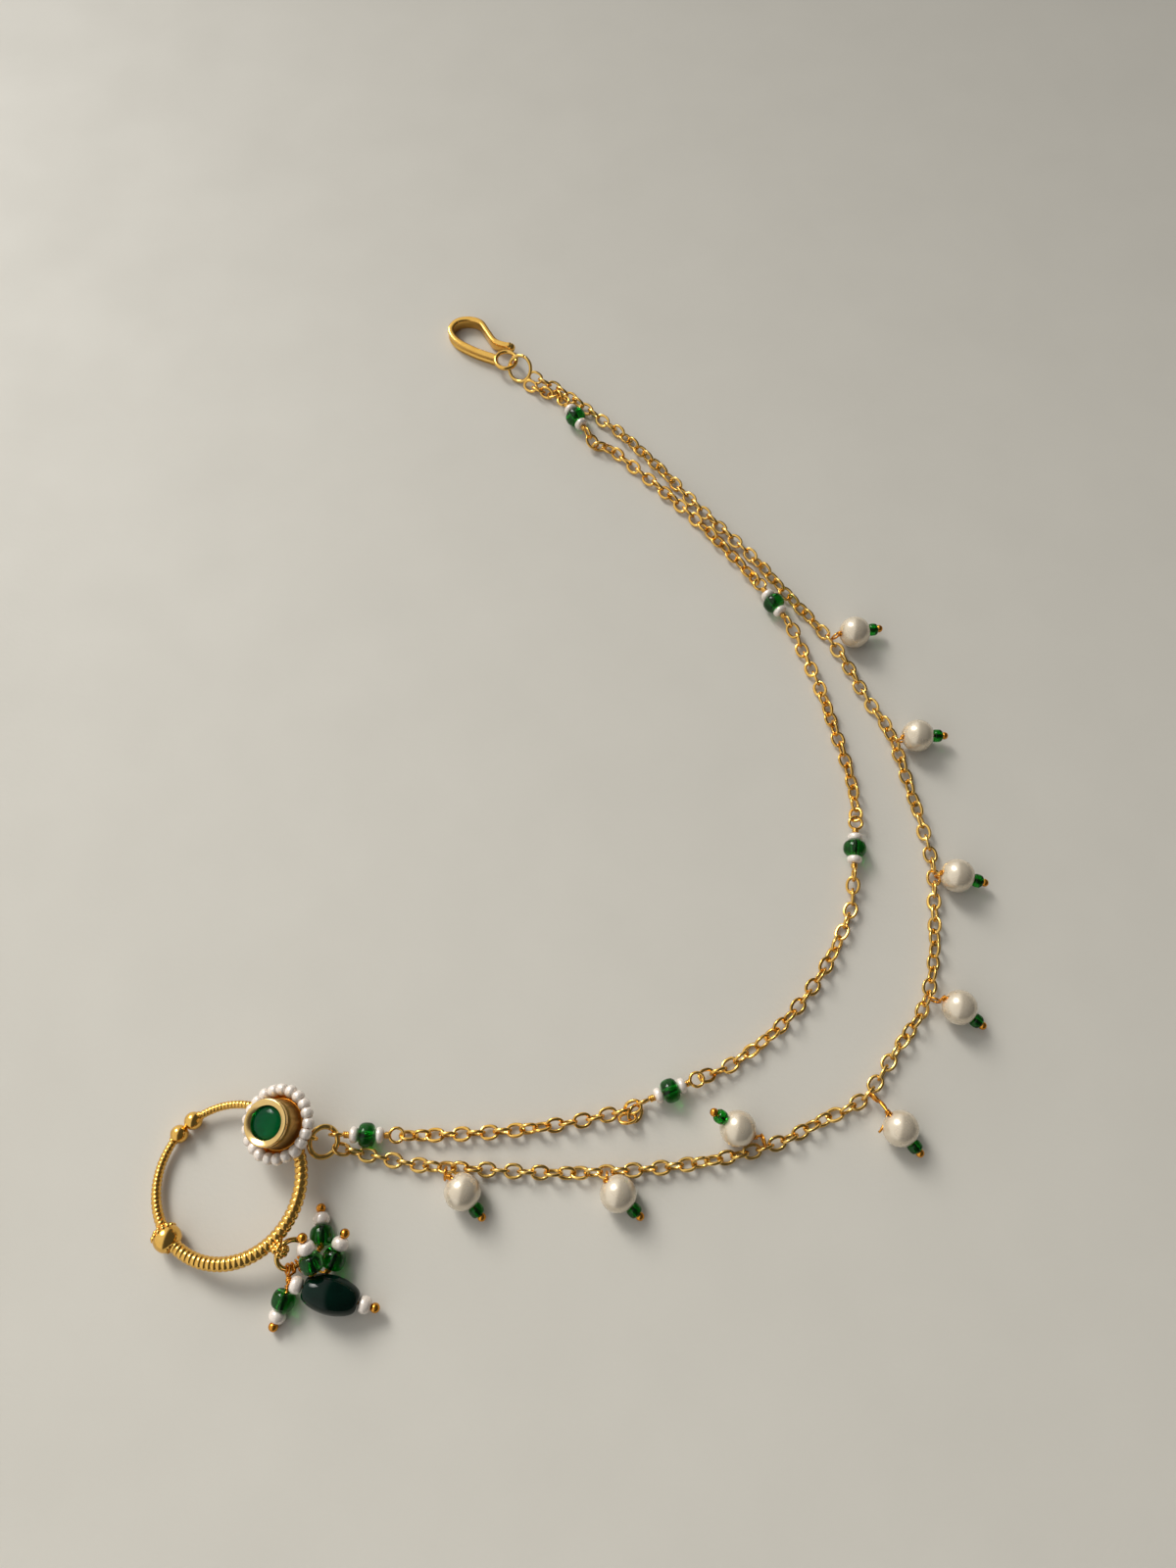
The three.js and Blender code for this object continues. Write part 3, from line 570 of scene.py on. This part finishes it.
# Inner strand: wire-wrapped connectors with chain between them
connector = {"eye": 1.16, "eyeWire": 0.27, "out": 4.9, "lead": 2.2, "leadRise": 0.15, "white": 2.1,
             "wrap": {"radius": 0.44, "wire": 0.17, "turns": 2.8, "nest": 0.6, "overlap": 0.05},
             # how far in from the eyes, and from the hook's ring, the end links sit
             "linkIn": 2.0, "lastLinkIn": 1.2, "twistOn": 1.3}
greenBead = {"radius": 2.06, "half": 1.36, "end": 1.0, "hole": 0.5, "squareness": 2.3, "wobble": 0.012}
whiteBead = {"radius": 1.36, "half": 0.72, "end": 0.66, "hole": 0.2, "squareness": 2.1}
firstConnector = {"ringTurn": -48, "heading": 0, "pitch": 5.5}
connectors = [
    {"at": (13.5, -64.3, 2.08), "heading": 22, "pitch": 0},
    {"at": (48.0, -21.6, 2.08), "heading": 83.5, "pitch": 0},
    {"at": (36.2, 29.0, 2.08), "heading": 121, "pitch": 0},
    {"at": (-2.9, 73.5, 2.08), "heading": 122, "pitch": 0},
]
innerStretches = [
    [(-20.9, -71.2), (-11.3, -70.5), (-1.7, -69.1)],
    [(23.9, -60.0), (32.9, -53.3), (40.9, -43.7), (46.4, -33.2)],
    [(48.4, -6.7), (46.1, 3.2), (44.0, 11.4), (41.0, 20.0)],
    [(28.3, 40.8), (20.6, 50.0), (12.1, 58.8), (3.9, 66.3)],
    [(-8.2, 79.9), (-13.6, 82.9)],
]
# spare links bunched beside the second connector: place, heading, roll
looseLinks = [((7.6, -67.9, 1.0), 62, 20), ((6.3, -68.7, 1.35), 8, -38)]
firstAxis = heading(firstConnector["heading"], firstConnector["pitch"])
firstCentre = flowerRingAt(firstConnector["ringTurn"])[0] + firstAxis * connector["out"]
connectors.insert(0, {"at": firstCentre, "heading": firstConnector["heading"], "pitch": firstConnector["pitch"]})


def connectorShapes(row):
    axis, centre = heading(row["heading"], row["pitch"]), Vector(row["at"])
    side = heading(row["heading"] + 90)
    reach = connector["out"] - connector["eye"]
    wrap = connector["wrap"]
    wrapFrom = connector["white"] + whiteBead["half"] + wrap["wire"] * wrap["nest"]
    metal = [tube([centre + axis * (reach * k / 4) for k in range(-4, 5)], pin["wire"])]
    whites = []
    for end in (-1, 1):
        whites.append(drilled(whiteBead, axis, centre + axis * (end * connector["white"])))
        eyeAxis = side if end < 0 else axis.cross(side)
        metal.append(wireRing(centre + axis * (end * connector["out"]), connector["eye"], connector["eyeWire"],
                              eyeAxis, steps=36, sides=12))
        metal.append(coil(centre + axis * (end * wrapFrom), centre + axis * (end * (reach + wrap["overlap"])),
                          wrap["radius"], wrap["wire"], wrap["turns"], sides=9))
    return metal, whites


def connectorEnd(row, end):  # its eye, and the point where the chain has come down to the table
    axis = heading(row["heading"], row["pitch"]) * end
    eye = Vector(row["at"]) + axis * connector["out"]
    lead = eye + axis * (connector["eye"] + connector["lead"])
    return eye, Vector((lead.x, lead.y, chainZ + connector["leadRise"]))


innerMetal, innerWhites = [], []
for i, row in enumerate(connectors, 1):
    metal, whites = connectorShapes(row)
    innerMetal += metal
    innerWhites += whites
    axis = heading(row["heading"], row["pitch"])
    piece(f"inner_green_bead_{i}_looks", [drilled(greenBead, axis, Vector(row["at"]), sides=48)], greenGlass,
          "green_glass", f"inner_green_bead_{i}")
for i, points in enumerate(innerStretches):
    eye, lead = connectorEnd(connectors[i], 1)
    route = [eye, lead, *[Vector((x, y, chainZ)) for x, y in points]]
    lastIn = connector["lastLinkIn"]
    if i + 1 < len(connectors):
        eye, lead = connectorEnd(connectors[i + 1], -1)
        route += [lead, eye]
        lastIn = connector["linkIn"]
    innerMetal += chainLinks(route, connector["linkIn"], lastIn, connector["twistOn"] * i)[0]
innerMetal += [oneLink(Vector(at), heading(turn), roll) for at, turn, roll in looseLinks]
piece("inner_chain_looks", innerMetal, goldPlate, "gold_plate", "inner_chain")
piece("inner_white_beads_looks", innerWhites, seedPearl, "white_seed_pearl", "inner_chain")
print("inner strand made")


# Outer strand: on the table where a row has no height
outerRoute = [
    (-41.0, -73.7, 1.95), (-38.9, -74.1, 1.25), (-35.4, -74.8), (-27.8, -76.2), (-16.5, -76.9), (-3.5, -77.4),
    (9.4, -76.8), (20.9, -75.3), (30.9, -72.8), (38.3, -69.3), (46.1, -65.4), (52.7, -57.1), (57.8, -50.1),
    (60.4, -41.9), (61.6, -31.3), (61.9, -23.0), (59.4, -9.8), (56.8, 1.4), (52.8, 9.1), (47.7, 19.9),
    (38.8, 31.8), (32.6, 40.1), (22.7, 51.2), (14.9, 60.8), (7.2, 69.3), (1.7, 74.2), (-3.0, 78.3),
    (-7.2, 81.6, 1.2), (-12.0, 83.9, 2.2),
]
outerPoints = [Vector((*p, chainZ)[:3]) for p in outerRoute]
outerShapes, outerPlaces = chainLinks(outerPoints, first=0.0, last=0.6, drift=0.4)
piece("outer_chain_looks", outerShapes, paleGoldPlate, "pale_gold_plate", "outer_chain")

# Drops of the outer strand
pearl = {"radius": 3.02, "half": 2.86, "end": 0.35, "hole": 0.34}
seed = {"radius": 1.2, "half": 0.82, "end": 0.75, "hole": 0.4, "squareness": 2.6}
dropHead = {"radius": 0.72, "out": 0.6}
dropSeat = {"clearance": 0.03, "eyeOut": 1.15, "eyeRise": 0.6, "wireOut": 0.1}
drops = [
    {"at": (-20.7, -80.4), "heading": -51, "pitch": 20, "eye": (-23.1, -77.0)},
    {"at": (4.6, -80.7), "heading": -44, "pitch": 20, "eye": (1.7, -77.6)},
    {"at": (24.5, -70.5), "heading": 150, "pitch": -26, "eye": (28.5, -73.6)},
    {"at": (51.4, -70.5), "heading": -49.5, "pitch": 18, "eye": (47.3, -65.6),
     # loose end of the pin, bent round beside it
     "slack": [(47.3, -65.0, 1.5), (48.8, -66.2, 2.3), (49.5, -67.6, 2.7), (49.1, -69.0, 3.0),
               (48.3, -70.5, 3.1), (47.8, -71.1, 2.8)]},
    {"at": (63.4, -50.5), "heading": -34.7, "pitch": 18, "eye": (59.7, -48.0)},
    {"at": (65.7, -27.0), "heading": -11.3, "pitch": 12, "eye": (61.7, -26.2)},
    {"at": (61.3, 0.2), "heading": 3.2, "pitch": 8, "eye": (57.2, 0.0)},
    {"at": (51.3, 22.0), "heading": 14, "pitch": 10, "eye": (47.3, 20.9)},
]
for i, drop in enumerate(drops, 1):
    axis = heading(drop["heading"], drop["pitch"])
    centre = Vector((*drop["at"], pearl["radius"] + dropSeat["clearance"]))
    seedAt = pearl["half"] + gap + seed["half"]
    headAt = seedAt + seed["half"] + dropHead["out"]
    eyeMark = Vector((*drop["eye"], chainZ))
    at, run = min(outerPlaces, key=lambda place: (place[0] - eyeMark).length)  # hangs on the nearest link
    out = (centre - at).normalized()
    out = (out - run * out.dot(run)).normalized()
    eyeAt = at + out * dropSeat["eyeOut"] + up * dropSeat["eyeRise"]
    start = centre - axis * (pearl["half"] + dropSeat["wireOut"])
    shapes = pinShapes(centre + axis * headAt, dropHead["radius"], start, [], eyeAt, run, pin["dropEye"])
    if "slack" in drop:
        shapes.append(tube(smoothPath([Vector(v) for v in drop["slack"]], pin["step"]), pin["eyeWire"]))
    piece(f"drop_pin_{i}_looks", shapes, amberGoldAndPaintedRimGlow, "gold_plate", f"drop_pin_{i}")
    piece(f"drop_pearl_{i}_looks", [drilled(pearl, axis, centre, sides=48)], creamPearl, "cream_pearl",
          f"drop_pearl_{i}")
    piece(f"drop_seed_{i}_looks", [drilled(seed, axis, centre + axis * seedAt)], greenGlass, "green_glass",
          f"drop_seed_{i}")
print("outer strand and drops made")


# Hook clasp: cast band on edge, rounded, with a groove along its outer face
hook = {
    "height": 2.5, "thick": 1.25, "groove": 0.3, "step": 0.35,
    "route": [(-19.9, 88.9), (-24.6, 90.9), (-28.6, 93.5), (-30.1, 96.4), (-28.8, 98.7), (-26.2, 99.3),
              (-23.7, 98.4), (-22.1, 95.9), (-20.5, 93.4), (-18.4, 92.4), (-17.0, 92.2)],
    "tip": 0.95, "tipZ": 1.45,
    "eye": {"x": -17.9, "y": 88.1, "outer": 2.65, "inner": 1.78, "bottom": 1.85, "top": 2.75, "facets": 12},
}
hookRing = {"away": 3.85, "radius": 2.6, "wire": 0.37, "heading": -37, "roll": 48, "z": 2.4, "cut": 1.4}


def hookShapes():
    path = smoothPath([Vector((x, y, hook["height"] / 2)) for x, y in hook["route"]], hook["step"])
    h, t, g = hook["height"] / 2, hook["thick"] / 2, hook["groove"]
    # up the inner face, over the rounded top and down the grooved outer face
    half = [(t * 0.55, h), (t * 0.88, h * 0.93), (t, h * 0.78), (t, h * 0.5), (t - g * 0.3, h * 0.3),
            (t - g, h * 0.12)]
    section = [(-t, -h * 0.78), (-t, h * 0.78), (-t * 0.88, h * 0.93), (-t * 0.55, h), *half,
               *[(x, -y) for x, y in reversed(half)], (-t * 0.55, -h), (-t * 0.88, -h * 0.93)]
    rings = []
    for p, run in zip(path, tangents(path)):
        left = up.cross(run)
        rings.append([p + left * x + up * y for x, y in section])
    eye = hook["eye"]
    middle, rise = (eye["bottom"] + eye["top"]) / 2, (eye["top"] - eye["bottom"]) / 2
    width = (eye["outer"] - eye["inner"]) / 2
    eyeSection = [((eye["outer"] + eye["inner"]) / 2 + width * math.cos(a), middle + rise * math.sin(a))
                  for a in (2 * math.pi * k / eye["facets"] for k in range(eye["facets"] + 1))]
    tipX, tipY = hook["route"][-1]
    return [skin(rings), turned(eyeSection, up, Vector((eye["x"], eye["y"], 0)), sides=48),
            ball(Vector((tipX, tipY, hook["tipZ"])), hook["tip"], sides=24)]


piece("hook_clasp_looks", hookShapes(), goldPlate, "pale_gold_plate", "hook_clasp")
ringAway = heading(hookRing["heading"])
ringSide = Matrix.Rotation(math.radians(hookRing["roll"]), 3, ringAway) @ heading(hookRing["heading"] + 90)
ringCentre = Vector((hook["eye"]["x"], hook["eye"]["y"], hookRing["z"])) + ringAway * hookRing["away"]
hookRingShape = wireRing(ringCentre, hookRing["radius"], hookRing["wire"], ringAway.cross(ringSide), steps=60,
                         sides=14, cut=hookRing["cut"], facing=ringSide)
piece("hook_jump_ring_looks", [hookRingShape], paleGoldPlate, "pale_gold_plate", "hook_jump_ring")
print("hook made")


# Stage: pale matt table, soft window light from the upper left, camera over the nose ring
studio = {
    "floorSize": 8.0, "floorColours": ("#d8d4cb", "#d1cdc4"),
    "window": {"heading": 138, "height": 38, "away": 1.6, "size": 0.85, "power": 2.15,
               "colour": "#fffdf8", "aim": (-0.26, -0.22, 0.0), "spread": 38},
    # the left half of the room is bright, the other half dim
    "room": {"colour": "#efeeea", "heading": 168, "far": 0.1, "near": 1.0, "edge": (-0.06, 0.22)},
    "camera": {"at": (-0.3, -87.0, 205.0), "tilt": 21.0, "lens": 27.0, "sensor": 36.0, "nearest": 0.01},
}
floorMesh = bpy.data.meshes.new("table")
half = studio["floorSize"] / 2
floorMesh.from_pydata([(-half, -half, 0), (half, -half, 0), (half, half, 0), (-half, half, 0)], [], [(0, 1, 2, 3)])
floor = bpy.data.objects.new("table", floorMesh)
bpy.context.scene.collection.objects.link(floor)
# Matt lacquered board: faint mottling and an orange-peel grain, drawn coarse enough to show
mattLacquer = finish("mattLacquer", studio["floorColours"], 18.0, (0.5, 0.6), 0.8, 0.16, {"IOR": 1.45})
floorMesh.materials.append(mattLacquer)

window = studio["window"]
light = bpy.data.lights.new("window", "AREA")
light.shape, light.size, light.energy = "SQUARE", window["size"], window["power"]
light.color = linear(window["colour"])[:3]
light.spread = math.radians(window["spread"])
lamp = bpy.data.objects.new("window", light)
lamp.location = heading(window["heading"], -window["height"]) * window["away"]
lamp.rotation_euler = (Vector(window["aim"]) - lamp.location).to_track_quat("-Z", "Y").to_euler()
bpy.context.scene.collection.objects.link(lamp)

room = studio["room"]
world = bpy.data.worlds.new("softRoom")
world.use_nodes = True
air = world.node_tree
air.nodes.clear()
gaze = addNode(air, "ShaderNodeTexCoord").outputs["Generated"]
lit = addNode(air, "ShaderNodeVectorMath", {"operation": "DOT_PRODUCT", 1: heading(room["heading"])}, {0: gaze})
level = addNode(air, "ShaderNodeMapRange",
                {"interpolation_type": "SMOOTHSTEP", "From Min": room["edge"][0], "From Max": room["edge"][1],
                 "To Min": room["far"], "To Max": room["near"]}, {"Value": lit.outputs["Value"]})
glow = addNode(air, "ShaderNodeBackground", {"Color": linear(room["colour"])}, {"Strength": level.outputs[0]})
addNode(air, "ShaderNodeOutputWorld", {}, {"Surface": glow.outputs[0]})
bpy.context.scene.world = world
bpy.context.scene.view_settings.view_transform = "Standard"

view = studio["camera"]
cameraData = bpy.data.cameras.new("overNoseRing")
cameraData.lens, cameraData.sensor_width, cameraData.clip_start = view["lens"], view["sensor"], view["nearest"]
camera = bpy.data.objects.new("overNoseRing", cameraData)
camera.location = (Vector(view["at"]) + tableShift) * millimetre
camera.rotation_euler = (math.radians(view["tilt"]), 0, 0)
bpy.context.scene.collection.objects.link(camera)
bpy.context.scene.camera = camera

print("stage set")
